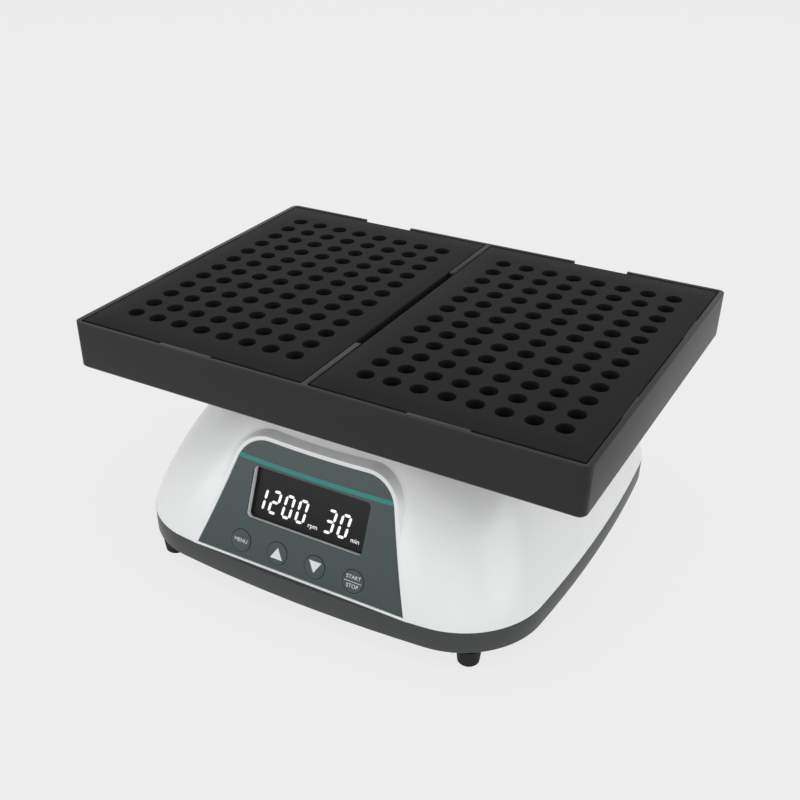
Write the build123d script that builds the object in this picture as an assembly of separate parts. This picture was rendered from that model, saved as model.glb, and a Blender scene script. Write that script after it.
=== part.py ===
from build123d import *
import math
import os

# Bench microplate shaker. Millimetres, +Z up. The origin is on the surface that the feet stand on,
# under the motor shaft. The control panel faces -Y. At rest the platform is at the front of its orbit.

# Orbit and main heights
orbit_radius = 1.5
foot_height = 6.5
band_height = 9.0
housing_height = 45.0
deck_gap = 1.5
carrier_thickness = 3.4

# Base footprint, with softly bowed sides
base_half_x = 75.4
base_half_y = 76.5
base_corner = 30.0
base_bow = 5.0
base_floor = 2.4
base_edge = 1.2
seam_tongue = 2.0
seam_tongue_thickness = 1.1
seam_clearance = 0.25

# White housing: the flank draws in by its lean and its curve over the housing's height
housing_wall = 2.5
deck_thickness = 2.5
deck_edge_bevel = 1.0
flank_lean = 13.9
flank_curve = 11.4
flank_stations = 5
hollow_stations = 4

# Control panel, on a flat leaning back from the vertical
panel_tilt = 22.3
panel_setback = 1.84
panel_lip = 0.7
panel_half_bottom = 39.3
panel_half_top = 26.8
panel_length = 40.9
panel_side_bow = 0.5
panel_top_dip = 0.9
panel_corner = 11.0
panel_rim = 1.3
panel_rim_flare = 9.0
panel_pod_depth = 14.0
panel_wall = 2.0
overlay_thickness = 0.5
overlay_sunk = 0.4
overlay_clearance = 0.15
overlay_ledge = 1.2

# Display, in panel coordinates: across, and up the slope
window_x = -0.6
window_up = 22.7
window_width = 43.6
window_height = 17.4
window_corner = 1.6
lens_border = 1.8
lens_thickness = 1.5
module_thickness = 5.0
display_board_width = 60.0
display_board_height = 24.0
board_thickness = 1.6

# Push buttons and their board
button_row_x = -1.2
button_row_up = 5.6
button_pitch = 14.25
button_radius = 3.7
button_clearance = 0.2
button_flange = 1.0
button_flange_thickness = 0.8
button_travel = 0.5
button_stem_radius = 1.4
button_stem = 1.3
button_proud = 0.15
switch_free = 0.1
switch_size = 6.0
switch_height = 3.5
keypad_board_width = 70.0
keypad_board_height = 8.6
post_radius = 2.3
post_edge_gap = 0.6
plunger_radius = 1.6
plunger_height = 0.9
small_screw_radius = 1.1
small_head_radius = 2.0
small_head_height = 1.5
small_screw_grip = 2.8

# Platform tray with two bays
tray_half_x = 88.95
tray_half_y = 65.3
tray_height = 16.6
tray_floor = 3.0
side_wall = 1.85
front_wall = 1.4
tray_corner = 2.5
tray_inner_corner = 0.8
tray_bottom_edge = 0.9
rib_thickness = 2.0
notch_width = 20.0
notch_depth = 8.0
notch_corner = 3.0
front_lug_width = 19.8
side_lug_width = 14.0
side_lug_y = 29.3
lug_clearance = 0.05
scoop_half = 32.5
scoop_corner = 9.0
scoop_floor = 2.6

# Lift-out inserts with the 96-well grid
insert_side_gap = 0.3
insert_end_gap = 0.9
well_pitch = 9.0
well_columns = 8
well_rows = 12
well_radius = 2.8
well_depth = 11.0
well_sides = 8
insert_edge = 0.5

# Drive plate and its pillars
plate_margin_x = 25.4
plate_margin_y = 31.5
plate_corner = 12.0
plate_thickness = 3.0
plate_below_deck = 13.5
pillar_inset = 6.0
pillar_shift = 2.5
pillar_across_flats = 7.0
pillar_screw_radius = 1.9
pillar_head_radius = 3.4
pillar_head_height = 2.2
pillar_thread = 8.0

# Motor, hung under the drive plate
motor_radius = 22.0
motor_length = 25.0
motor_wall = 1.6
motor_end_wall = 4.0
motor_rear_seat_wall = 1.5
motor_opening_radius = 7.0
stator_inner_radius = 11.6
stator_length = 13.0
stator_teeth = 9
stator_slot = 3.2
stator_yoke = 3.4
rotor_radius = 11.2
rotor_length = 12.0
motor_screw_circle = 16.5
motor_screw_radius = 1.4
motor_screw_grip = 2.4
motor_screw_head = 2.4
shaft_radius = 2.5
shaft_end_gap = 0.2

# Crank: hub, eccentric pin and balance weight
hub_clearance = 2.0
hub_flange_radius = 22.0
hub_flange_thickness = 2.0
hub_radius = 10.0
hub_height = 6.8
pin_radius = 4.0
weight_thickness = 4.0
weight_outer_radius = 21.5
weight_screw_spread = 15.5
weight_screw_y = 4.0
weight_screw_radius = 1.25
weight_screw_head = 2.4
set_screw_radius = 1.5
set_screw_share = 0.6
set_screw_sink = 2.0
pin_shoulder = 1.2
weight_gap = 0.1

# Ball bearings: bore radius, outer radius, width
main_bearing = (4.0, 11.0, 7.0)
idler_bearing = (3.0, 6.5, 5.0)
motor_bearing = (2.5, 5.5, 4.0)
running_fit = 0.03
seat_fit = 0.02

# Idler cranks that keep the platform from turning
idler_inset_x = 15.0
idler_inset_y = 12.0
idler_boss_wall = 2.5
idler_tail = 0.8
idler_boss_above = 2.0
idler_web_radius = 5.5
idler_web_thickness = 2.0
idler_shoulder = 0.6
idler_pin_radius = 2.0
bush_wall = 1.5
bush_length = 6.0
bush_boss_wall = 2.0
bush_end_gap = 0.4
opening_clearance = 1.5

# Carrier under the tray
carrier_half_x = 60.0
carrier_half_y = 48.0
carrier_corner = 10.0
bearing_boss_wall = 2.6
bearing_cap = 1.0
clip_thickness = 0.6
clip_width = 1.8
clip_slot = 4.0
tray_screw_x = 50.0
tray_screw_y = 38.0
tray_screw_radius = 2.0
tray_screw_head = 3.9
tray_screw_length = 6.0
screw_clearance = 0.15

# Base fittings
foot_inset_x = 17.8
foot_inset_y = 11.1
foot_radius = 3.5
foot_top_radius = 4.1
foot_round = 0.8
foot_plug_radius = 2.0
foot_plug_length = 1.5
foot_lug_distance = 5.6
foot_lug_length = 2.8
foot_lug_width = 1.4
foot_lug_height = 1.8
boss_inset_x = 25.4
boss_inset_y = 25.5
boss_radius = 4.0
boss_above_seam = 3.0
case_screw_radius = 1.5
case_screw_head = 2.8
case_screw_grip = 10.0
case_screw_head_height = 2.0
case_screw_sink = 3.6
vent_count = 5
vent_length = 24.0
vent_width = 2.4
vent_pitch = 6.0
vent_x = 23.0
vent_row_y = -44.0

# Rear socket recess with power inlet and rocker switch
recess_half_x = 31.0
recess_above_seam = 5.5
recess_height = 23.0
recess_depth = 17.5
recess_wall = 2.2
inlet_x = -16.0
inlet_radius = 5.5
inlet_flange_radius = 7.0
inlet_flange = 1.6
inlet_depth = 13.0
inlet_bore_radius = 3.0
inlet_bore_depth = 9.5
inlet_pin_radius = 1.05
inlet_nut_thickness = 3.0
panel_fit = 0.1
inlet_nut_across_flats = 13.0
rocker_x = 15.0
rocker_half_width = 9.0
rocker_half_height = 6.0
rocker_frame_lip = 1.6
rocker_frame_proud = 1.8
rocker_body_depth = 12.0
rocker_wall = 1.4
rocker_clearance = 0.5
rocker_end_clearance = 1.2
rocker_radius = 9.4
rocker_tilt = 9.0
rocker_proud = 2.4
rocker_root = 0.8
rocker_dip = 0.4
rocker_belly = 3.0
rocker_pin_radius = 1.0
rocker_floor = 3.0
terminal_spread = 4.0
terminal_thickness = 0.8
terminal_height = 4.8
terminal_length = 5.0

# Main circuit board on the base floor
main_board_half_x = 33.0
main_board_depth = 28.0
main_board_gap = 5.0
board_post_height = 4.1
board_post_inset = 4.0

# Main board parts: place across and deep from the board's middle, width, depth, height
driver_chip = (0.0, 2.0, 12.0, 12.0, 1.6)
regulator = (-20.0, -7.0, 8.0, 6.0, 2.4)
motor_header = (-20.0, 7.8, 14.0, 5.5, 5.6)
panel_header = (19.5, 7.8, 15.0, 5.5, 5.6)
capacitor_places = ((14.0, -6.5), (22.0, -6.5))
capacitor_radius = 3.1
capacitor_height = 7.0

# Sides of round shapes that repeat: screws and their holes, and the larger bushes and feet
small_sides = 8
round_sides = 16
outline_facets = 3

# Heights and places that follow from the sizes above
base_bottom = foot_height
base_floor_top = base_bottom + base_floor
seam_z = base_bottom + band_height
deck_top = seam_z + housing_height
deck_bottom = deck_top - deck_thickness
carrier_bottom = deck_top + deck_gap
tray_bottom = carrier_bottom + carrier_thickness
tray_top = tray_bottom + tray_height
tray_floor_top = tray_bottom + tray_floor
plate_top = deck_top - plate_below_deck
plate_bottom = plate_top - plate_thickness
plate_half_x = base_half_x - plate_margin_x
plate_half_y = base_half_y - plate_margin_y
idler_x = plate_half_x - idler_inset_x
idler_y = plate_half_y - idler_inset_y
motor_bottom = plate_bottom - motor_length
motor_middle = plate_bottom - motor_length / 2
platform_y = -orbit_radius

panel_foot_y = -base_half_y + panel_setback
panel_foot_z = seam_z + panel_lip
panel_lean = math.radians(panel_tilt)
seat_depth = overlay_sunk + overlay_thickness
wall_back = seat_depth + panel_wall

foot_x = base_half_x - foot_inset_x
foot_y = base_half_y - foot_inset_y
boss_x = base_half_x - boss_inset_x
boss_y = base_half_y - boss_inset_y
boss_top = seam_z + boss_above_seam
case_screw_seat = base_bottom + case_screw_sink
pillar_x = plate_half_x - pillar_inset
pillar_y = idler_y / 2 - pillar_shift
pillar_low = base_floor_top

recess_wall_y = base_half_y - recess_depth
recess_bottom = seam_z + recess_above_seam
recess_top = recess_bottom + recess_height
recess_middle = (recess_bottom + recess_top) / 2
main_board_y = recess_wall_y - main_board_gap - main_board_depth / 2
main_board_z = base_floor_top + board_post_height
board_top = main_board_z + board_thickness

# Depths of what stands behind the panel, counted from its rim
flange_back = wall_back + button_flange_thickness
stem_end = flange_back + button_stem
switch_top = stem_end + button_travel + switch_free
keypad_front = switch_top + switch_height
lens_back = wall_back + lens_thickness
display_board_front = lens_back + module_thickness

# The tongue stands inside the housing's wall, clear of it
tongue_inset = housing_wall + seam_clearance
base_wall = tongue_inset + seam_tongue_thickness

idler_boss_radius = idler_bearing[1] + idler_boss_wall
idler_bearing_top = plate_top + idler_boss_above
idler_bearing_low = idler_bearing_top - idler_bearing[2]
idler_web_low = idler_bearing_top + idler_shoulder
idler_web_top = idler_web_low + idler_web_thickness
bush_outer = idler_pin_radius + running_fit + bush_wall
bush_top = tray_bottom - bush_end_gap
bush_low = bush_top - bush_length
bush_boss_radius = bush_outer + bush_boss_wall
main_bearing_top = tray_bottom - bearing_cap
main_bearing_low = main_bearing_top - main_bearing[2]
bearing_boss_radius = main_bearing[1] + bearing_boss_wall
bearing_boss_low = main_bearing_low - clip_thickness
hub_low = plate_top + hub_clearance
hub_flange_top = hub_low + hub_flange_thickness
hub_top = hub_low + hub_height
set_screw_z = hub_low + set_screw_share * hub_height
weight_top = hub_flange_top + weight_thickness

bay_width = tray_half_x - side_wall - rib_thickness / 2
bay_x = rib_thickness / 2 + bay_width / 2
bay_half_y = tray_half_y - front_wall
rocker_axis_y = recess_wall_y + rocker_frame_proud + rocker_proud - rocker_radius

panel_plane = Plane(
    origin=(0, panel_foot_y, panel_foot_z),
    x_dir=(1, 0, 0),
    z_dir=(0, -math.cos(panel_lean), math.sin(panel_lean)),
)

FLOOR_UP = (Align.CENTER, Align.CENTER, Align.MIN)
CORNERS = ((1, 1), (-1, 1), (-1, -1), (1, -1))
cut_over = 1.0
everything = 4 * base_half_y


# Small shapes used throughout
def rod(radius, low, high, x=0.0, y=0.0):
    """Round bar along Z between two heights."""
    return Pos(x, y, low) * Cylinder(radius, high - low, align=FLOOR_UP)


def ring(outer, inner, low, high, x=0.0, y=0.0):
    return rod(outer, low, high, x, y) - rod(inner, low - cut_over, high + cut_over, x, y)


def peg(radius, low, high, x=0.0, y=0.0, sides=small_sides):
    """Small bar with few sides, which lie inside its radius."""
    return Pos(x, y, low) * extrude(RegularPolygon(radius, sides), high - low)


def drill(radius, low, high, x=0.0, y=0.0, sides=small_sides):
    """Small hole with few sides, which lie outside its radius."""
    return Pos(x, y, low) * extrude(RegularPolygon(radius, sides, major_radius=False), high - low)


def bush(outer, inner, low, high, x=0.0, y=0.0):
    """Ring with few sides that fits in a drilled hole of as many sides, round a bar."""
    body = peg(outer, low, high, x, y, round_sides)
    return body - drill(inner, low - cut_over, high + cut_over, x, y, round_sides)


def block(x0, x1, y0, y1, z0, z1):
    return Pos((x0 + x1) / 2, (y0 + y1) / 2, z0) * Box(x1 - x0, y1 - y0, z1 - z0, align=FLOOR_UP)


def wide_block(low, high):
    """Everything between two heights."""
    return block(-everything, everything, -everything, everything, low, high)


def slab(half_x, half_y, corner, low, high, x=0.0, y=0.0):
    """Flat plate with rounded corners between two heights."""
    return Pos(x, y, low) * extrude(RectangleRounded(2 * half_x, 2 * half_y, corner), high - low)


def hexagon_bar(across_flats, low, high, x=0.0, y=0.0):
    face = RegularPolygon(across_flats / 2, 6, major_radius=False)
    return Pos(x, y, low) * extrude(face, high - low)


def cap_screw(radius, head_radius, head_height, length, head_up=True):
    """Screw with its head's seat at the origin and its shank away from the head."""
    screw = peg(head_radius, 0, head_height) + peg(radius - screw_clearance / 2, -length, 0)
    return screw if head_up else Rot(180, 0, 0) * screw


def ball_bearing(sizes, low, x=0.0, y=0.0):
    """Sealed bearing as one closed ring."""
    bore, outer, width = sizes
    return ring(outer, bore + running_fit, low, low + width, x, y)


def group(shapes):
    """Several separate solids kept in one piece list."""
    return Compound(children=[solid for shape in shapes for solid in shape.solids()])


# Outlines of the base and the housing
def flank_draw(share):
    """How far the flank has drawn in at a share of the housing's height."""
    return flank_lean * share + flank_curve * share ** 2


def bowed_outline(inset):
    """Footprint drawn in by a distance: a rectangle with bowed sides and round corners."""
    half_x = base_half_x - inset
    half_y = base_half_y - inset
    bow = base_bow * (half_x / base_half_x) ** 2
    corner_x = half_x - bow
    corner_y = half_y - bow
    right = ThreePointArc((corner_x, -corner_y), (half_x, 0), (corner_x, corner_y))
    back = ThreePointArc((corner_x, corner_y), (0, half_y), (-corner_x, corner_y))
    left = ThreePointArc((-corner_x, corner_y), (-half_x, 0), (-corner_x, -corner_y))
    front = ThreePointArc((-corner_x, -corner_y), (0, -half_y), (corner_x, -corner_y))
    face = make_face([right, back, left, front])
    return fillet(face.vertices(), base_corner)


def faceted_outline(inset):
    """The same footprint as a polygon with its corners on it, for the hollow that nobody sees."""
    points = []
    for edge in bowed_outline(inset).wire().order_edges():
        points += [edge @ (i / outline_facets) for i in range(outline_facets)]
    return make_face(Polyline(points, close=True))


def housing_form():
    """Solid of the flared housing with its smooth flank."""
    outlines = []
    for i in range(flank_stations):
        share = i / (flank_stations - 1)
        outlines.append(Pos(0, 0, seam_z + share * housing_height) * bowed_outline(flank_draw(share)))
    return loft(outlines)


def housing_hollow():
    """Room inside the housing, a wall thickness in, with a rebate at its foot for the seam's tongue."""
    outlines = []
    for i in range(hollow_stations):
        share = i / (hollow_stations - 1)
        outline = faceted_outline(housing_wall + flank_draw(share))
        outlines.append(Pos(0, 0, seam_z + share * housing_height) * outline)
    room = loft(outlines, ruled=True) & wide_block(seam_z, deck_bottom)
    rebate = extrude(bowed_outline(tongue_inset - seam_clearance), seam_tongue + 2 * seam_clearance)
    return room + Pos(0, 0, seam_z) * rebate


# Shapes drawn on the panel's plane
def panel_outline(grow):
    """Panel shape: straight foot, drawn-in sides, round shoulders and a slightly dipped top."""
    slope = (panel_half_bottom - panel_half_top) / panel_length
    low = -grow
    high = panel_length + grow
    widen = grow * math.sqrt(1 + slope * slope)
    bottom_x = panel_half_bottom + widen + slope * grow
    top_x = panel_half_top + widen - slope * grow
    mid_x = (bottom_x + top_x) / 2 - panel_side_bow
    middle = (low + high) / 2
    foot = Line((-bottom_x, low), (bottom_x, low))
    right = ThreePointArc((bottom_x, low), (mid_x, middle), (top_x, high))
    top = ThreePointArc((top_x, high), (0, high - panel_top_dip), (-top_x, high))
    left = ThreePointArc((-top_x, high), (-mid_x, middle), (-bottom_x, low))
    face = make_face([foot, right, top, left])
    shoulders = face.vertices().sort_by(Axis.Y)[-2:]
    return fillet(shoulders, panel_corner + grow)


def sunk_from_panel(face, start, end):
    """Solid of a panel-plane face from one depth behind the rim to another."""
    return panel_plane * (Pos(0, 0, -end) * extrude(face, end - start))


def panel_rod(radius, start, end, x, up):
    return sunk_from_panel(Pos(x, up) * Circle(radius), start, end)


def panel_peg(radius, start, end, x, up):
    return sunk_from_panel(Pos(x, up) * RegularPolygon(radius, small_sides), start, end)


def panel_drill(radius, start, end, x, up):
    hole = RegularPolygon(radius, small_sides, major_radius=False)
    return sunk_from_panel(Pos(x, up) * hole, start, end)


def panel_block(width, height, start, end, x, up):
    return sunk_from_panel(Pos(x, up) * Rectangle(width, height), start, end)


def display_window(start, end):
    """Opening in front of the display, with small round corners."""
    window = RectangleRounded(window_width, window_height, window_corner)
    return sunk_from_panel(Pos(window_x, window_up) * window, start, end)


def in_front_of_panel(depth):
    """Everything in front of a plane that lies a depth behind the panel's rim."""
    return panel_plane * (Pos(0, 0, -depth) * Box(everything, everything, everything, align=FLOOR_UP))


# Places of what repeats
def button_places():
    return [(button_row_x + button_pitch * (i - 1.5), button_row_up) for i in range(4)]


def keypad_post_places():
    reach = keypad_board_width / 2 - post_radius - post_edge_gap
    return [(button_row_x - reach, button_row_up), (button_row_x + reach, button_row_up)]


def display_post_places():
    across = display_board_width / 2 - post_radius - post_edge_gap
    up = display_board_height / 2 - post_radius
    return [(window_x + sx * across, window_up + sy * up) for sx, sy in CORNERS]


def foot_places():
    return [(sx * foot_x, sy * foot_y) for sx, sy in CORNERS]


def case_screw_places():
    return [(sx * boss_x, sy * boss_y) for sx, sy in CORNERS]


def pillar_places():
    return [(sx * pillar_x, sy * pillar_y) for sx, sy in CORNERS]


def idler_places(shift_y=0.0):
    return [(sx * idler_x, sy * idler_y + shift_y) for sx, sy in CORNERS]


def motor_screw_places():
    angles = [math.radians(45 + 90 * i) for i in range(4)]
    return [(motor_screw_circle * math.cos(a), motor_screw_circle * math.sin(a)) for a in angles]


def weight_screw_places():
    return [(-weight_screw_spread, weight_screw_y), (weight_screw_spread, weight_screw_y)]


def tray_screw_places():
    return [(sx * tray_screw_x, sy * tray_screw_y + platform_y) for sx, sy in CORNERS]


def main_board_posts():
    reach_x = main_board_half_x - board_post_inset
    reach_y = main_board_depth / 2 - board_post_inset
    return [(sx * reach_x, main_board_y + sy * reach_y) for sx, sy in CORNERS]


def well_places():
    xs = [(i - (well_columns - 1) / 2) * well_pitch for i in range(well_columns)]
    ys = [(j - (well_rows - 1) / 2) * well_pitch for j in range(well_rows)]
    return [(x, y) for x in xs for y in ys]


def switch_block(half_x, half_z, y0, y1, x=0.0):
    """Block about the rocker switch's axis between two depths."""
    middle = rocker_x + x
    return block(middle - half_x, middle + half_x, y0, y1, recess_middle - half_z, recess_middle + half_z)


def recess_block(grow):
    """Room of the rear recess, out through the housing's back, grown by a wall thickness."""
    half_x = recess_half_x + grow
    return block(-half_x, half_x, recess_wall_y - grow, everything, recess_bottom - grow, recess_top + grow)


def make_top_housing():
    """Flared white cover with a flat for the panel, a deck with drive openings and a rear recess."""
    outer = housing_form()
    rim_edges = outer.edges().group_by(Axis.Z)[-1]
    outer = chamfer(rim_edges, deck_edge_bevel)
    pod_front = panel_plane * panel_outline(panel_rim)
    pod_back = panel_plane * (Pos(0, 0, -panel_pod_depth) * panel_outline(panel_rim + panel_rim_flare))
    pod = loft([pod_back, pod_front]) & wide_block(seam_z, deck_top)
    shell = (outer - in_front_of_panel(0)) + pod
    # The hollow leaves the recess's walls, the screw bosses and the board posts standing
    pod_hollow = sunk_from_panel(panel_outline(-overlay_ledge), wall_back, panel_pod_depth + panel_wall)
    pod_hollow = pod_hollow & wide_block(seam_z, deck_bottom)
    hollow = (housing_hollow() + pod_hollow) - in_front_of_panel(wall_back)
    hollow = hollow - recess_block(recess_wall)
    for x, y in case_screw_places():
        hollow = hollow - peg(boss_radius, boss_top, deck_top, x, y)
    for x, up in keypad_post_places():
        hollow = hollow - panel_peg(post_radius, wall_back - cut_over, keypad_front, x, up)
    for x, up in display_post_places():
        hollow = hollow - panel_peg(post_radius, wall_back - cut_over, display_board_front, x, up)
    shell = shell - hollow
    shell = shell - recess_block(0)
    shell = shell - sunk_from_panel(panel_outline(0), -cut_over, seat_depth)
    shell = shell - display_window(0, wall_back + cut_over)
    for x, up in button_places():
        shell = shell - panel_rod(button_radius + button_clearance, 0, wall_back + cut_over, x, up)
    post_start = wall_back + cut_over
    for x, up in keypad_post_places():
        shell = shell - panel_drill(small_screw_radius, post_start, keypad_front + cut_over, x, up)
    post_end = display_board_front + cut_over
    for x, up in display_post_places():
        shell = shell - panel_drill(small_screw_radius, post_start, post_end, x, up)
    for x, y in case_screw_places():
        shell = shell - drill(case_screw_radius, boss_top - cut_over, boss_top + case_screw_grip, x, y)
    idler_opening = bush_boss_radius + orbit_radius + opening_clearance
    for x, y in idler_places():
        shell = shell - drill(idler_opening, deck_bottom - cut_over, deck_top + cut_over, x, y, round_sides)
    main_opening = bearing_boss_radius + orbit_radius + opening_clearance
    shell = shell - rod(main_opening, deck_bottom - cut_over, deck_top + cut_over)
    inlet_hole = Rot(90, 0, 0) * Cylinder(inlet_radius + panel_fit, 4 * recess_wall)
    shell = shell - Pos(inlet_x, recess_wall_y, recess_middle) * inlet_hole
    cut_x = rocker_half_width + panel_fit
    cut_z = rocker_half_height + panel_fit
    return shell - switch_block(cut_x, cut_z, recess_wall_y - 2 * recess_wall, recess_wall_y + cut_over)


def make_base_tray():
    """Dark lower tray: band, floor, seam tongue, screw bosses, board posts, vents and foot lugs."""
    body = Pos(0, 0, base_bottom) * extrude(bowed_outline(0), band_height)
    body = chamfer(body.edges().group_by(Axis.Z)[0], base_edge)
    inside = bowed_outline(base_wall)
    tray = body - Pos(0, 0, base_floor_top) * extrude(inside, band_height)
    below = base_bottom - cut_over
    tongue = Pos(0, 0, seam_z) * extrude(bowed_outline(tongue_inset) - inside, seam_tongue)
    tray = tray + (tongue - in_front_of_panel(wall_back + seam_clearance))
    for x, y in case_screw_places():
        tray = tray + peg(boss_radius, base_floor_top, boss_top, x, y)
        tray = tray - drill(case_screw_radius + screw_clearance, below, boss_top + cut_over, x, y)
        tray = tray - drill(case_screw_head + screw_clearance, below, case_screw_seat, x, y)
    for x, y in pillar_places():
        tray = tray - drill(pillar_screw_radius, below, base_floor_top + cut_over, x, y)
    for x, y in main_board_posts():
        tray = tray + peg(post_radius, base_floor_top, main_board_z, x, y)
        tray = tray - drill(small_screw_radius, base_floor_top, main_board_z + cut_over, x, y)
    socket_top = base_bottom + foot_plug_length + seat_fit
    for x, y in foot_places():
        tray = tray - peg(foot_plug_radius + seat_fit, below, socket_top, x, y)
    vent = Box(vent_length, vent_width, 3 * base_floor)
    vent_middle = (vent_count - 1) / 2
    for x in (-vent_x, vent_x):
        for i in range(vent_count):
            tray = tray - Pos(x, vent_row_y + (i - vent_middle) * vent_pitch, base_floor_top) * vent
    half_lug = foot_lug_length / 2
    wedge_outline = Polyline((-half_lug, 0), (half_lug, 0), (0, -foot_lug_height), close=True)
    wedge = extrude(Plane.XZ * make_face(wedge_outline), foot_lug_width / 2, both=True)
    for x, y in foot_places():
        along = math.degrees(math.atan2(y, x)) + 90
        for way in (-1, 1):
            lug = Rot(0, 0, along) * Pos(way * foot_lug_distance, 0, 0) * wedge
            tray = tray + Pos(x, y, base_bottom) * lug
    return tray


def make_rubber_feet():
    """Four rubber feet, wider at the top, with plugs in the base's blind sockets."""
    sole = Pos(0, 0, 0) * RegularPolygon(foot_radius - foot_round, round_sides)
    heel = Pos(0, 0, foot_round) * RegularPolygon(foot_radius, round_sides)
    shoulder = Pos(0, 0, foot_height) * RegularPolygon(foot_top_radius, round_sides)
    foot = loft([sole, heel, shoulder], ruled=True)
    foot = foot + peg(foot_plug_radius, foot_height, foot_height + foot_plug_length)
    return group([Pos(x, y, 0) * foot for x, y in foot_places()])


def make_case_screws():
    length = boss_top - case_screw_seat + case_screw_grip - cut_over
    screw = cap_screw(case_screw_radius, case_screw_head, case_screw_head_height, length, False)
    return group([Pos(x, y, case_screw_seat) * screw for x, y in case_screw_places()])


def make_pillars():
    """Hexagon pillars that carry the drive plate, tapped at both ends."""
    pillar = hexagon_bar(pillar_across_flats, pillar_low, plate_bottom)
    pillar = pillar - drill(pillar_screw_radius, pillar_low - cut_over, pillar_low + pillar_thread)
    pillar = pillar - drill(pillar_screw_radius, plate_bottom - pillar_thread, plate_bottom + cut_over)
    return group([Pos(x, y, 0) * pillar for x, y in pillar_places()])


def make_pillar_screws():
    grip = pillar_thread - cut_over
    head = (pillar_head_radius, pillar_head_height)
    lower = cap_screw(pillar_screw_radius, *head, base_floor + grip, False)
    upper = cap_screw(pillar_screw_radius, *head, plate_thickness + grip)
    screws = [Pos(x, y, base_bottom) * lower for x, y in pillar_places()]
    screws += [Pos(x, y, plate_top) * upper for x, y in pillar_places()]
    return group(screws)


def make_drive_plate():
    """Cast plate with four bearing bosses, a shaft opening and screw holes."""
    plate = slab(plate_half_x, plate_half_y, plate_corner, plate_bottom, plate_top)
    below = plate_bottom - cut_over
    above = plate_top + cut_over
    for x, y in idler_places():
        plate = plate + peg(idler_boss_radius, plate_bottom, idler_bearing_top, x, y, round_sides)
        seat = idler_bearing[1] + seat_fit
        plate = plate - drill(seat, below, idler_bearing_top + cut_over, x, y, round_sides)
    plate = plate - rod(motor_opening_radius, below, above)
    for x, y in motor_screw_places():
        plate = plate - drill(motor_screw_radius, below, above, x, y)
    for x, y in pillar_places():
        plate = plate - drill(pillar_screw_radius, below, above, x, y)
    return plate


def make_motor_housing():
    """Motor can with a thick front end, a bearing seat in it and a bearing cup at the rear."""
    inside = rod(motor_radius - motor_wall, motor_bottom + motor_wall, plate_bottom - motor_end_wall)
    can = rod(motor_radius, motor_bottom, plate_bottom) - inside
    seat = motor_bearing[1] + seat_fit
    below = plate_bottom - motor_end_wall - cut_over
    above = plate_bottom + cut_over
    can = can - rod(seat, below, above)
    cup_low = motor_bottom + motor_wall
    can = can + ring(seat + motor_rear_seat_wall, seat, cup_low, cup_low + motor_bearing[2])
    for x, y in motor_screw_places():
        can = can - drill(motor_screw_radius, below, above, x, y)
    return can


def make_motor_stator():
    """Laminated ring with slots between its teeth, pressed into the can."""
    low = motor_middle - stator_length / 2
    high = motor_middle + stator_length / 2
    stator = ring(motor_radius - motor_wall - seat_fit, stator_inner_radius, low, high)
    slot_in = stator_inner_radius - cut_over
    slot_out = motor_radius - motor_wall - stator_yoke
    slot = block(slot_in, slot_out, -stator_slot / 2, stator_slot / 2, low - cut_over, high + cut_over)
    for i in range(stator_teeth):
        stator = stator - Rot(0, 0, 360 / stator_teeth * i) * slot
    return stator


def make_motor_bearings():
    rear = ball_bearing(motor_bearing, motor_bottom + motor_wall)
    front = ball_bearing(motor_bearing, plate_bottom - motor_bearing[2])
    return group([rear, front])


def make_motor_screws():
    length = plate_thickness + motor_screw_grip
    screw = cap_screw(motor_screw_radius, motor_screw_head, small_head_height, length)
    return group([Pos(x, y, plate_top) * screw for x, y in motor_screw_places()])


def make_idler_bearings():
    """Sealed bearings in the drive plate's bosses."""
    bore, outer, width = idler_bearing
    low = idler_bearing_low
    return group([bush(outer, bore + running_fit, low, low + width, x, y) for x, y in idler_places()])


def make_motor_shaft():
    return rod(shaft_radius, motor_bottom + motor_wall + shaft_end_gap, hub_top)


def make_motor_rotor():
    low = motor_middle - rotor_length / 2
    return ring(rotor_radius, shaft_radius + seat_fit, low, low + rotor_length)


def make_crank_hub():
    """Hub with a half flange under the weight, a bore on the shaft and the pin set off centre."""
    flange = rod(hub_flange_radius, hub_low, hub_flange_top)
    flange = flange & block(-everything, everything, 0, everything, hub_low, hub_flange_top)
    hub = rod(hub_radius, hub_low, hub_top) + flange
    hub = hub + rod(pin_radius + pin_shoulder, hub_top, main_bearing_low - seat_fit, 0, platform_y)
    hub = hub + rod(pin_radius, hub_top, main_bearing_top, 0, platform_y)
    hub = hub - rod(shaft_radius + seat_fit, hub_low - cut_over, hub_top + shaft_end_gap)
    set_screw_hole = Rot(90, 0, 0) * drill(set_screw_radius, 0, hub_radius + cut_over)
    hub = hub - Pos(0, 0, set_screw_z) * set_screw_hole
    for x, y in weight_screw_places():
        hub = hub - drill(weight_screw_radius, hub_low - cut_over, hub_flange_top + cut_over, x, y)
    return hub


def make_hub_set_screw():
    """Grub screw that holds the hub on the shaft."""
    tip = shaft_radius + seat_fit
    grub = Rot(90, 0, 0) * peg(set_screw_radius - seat_fit, tip, hub_radius - set_screw_sink)
    return Pos(0, 0, set_screw_z) * grub


def make_balance_weight():
    """Half ring opposite the pin that balances the platform's orbit."""
    weight = ring(weight_outer_radius, hub_radius + weight_gap, hub_flange_top, weight_top)
    weight = weight & block(-everything, everything, 0, everything, hub_flange_top, weight_top)
    for x, y in weight_screw_places():
        weight = weight - drill(weight_screw_radius, hub_flange_top - cut_over, weight_top + cut_over, x, y)
    return weight


def make_weight_screws():
    length = weight_thickness + hub_flange_thickness
    screw = cap_screw(weight_screw_radius, weight_screw_head, small_head_height, length)
    return group([Pos(x, y, weight_top) * screw for x, y in weight_screw_places()])


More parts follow.
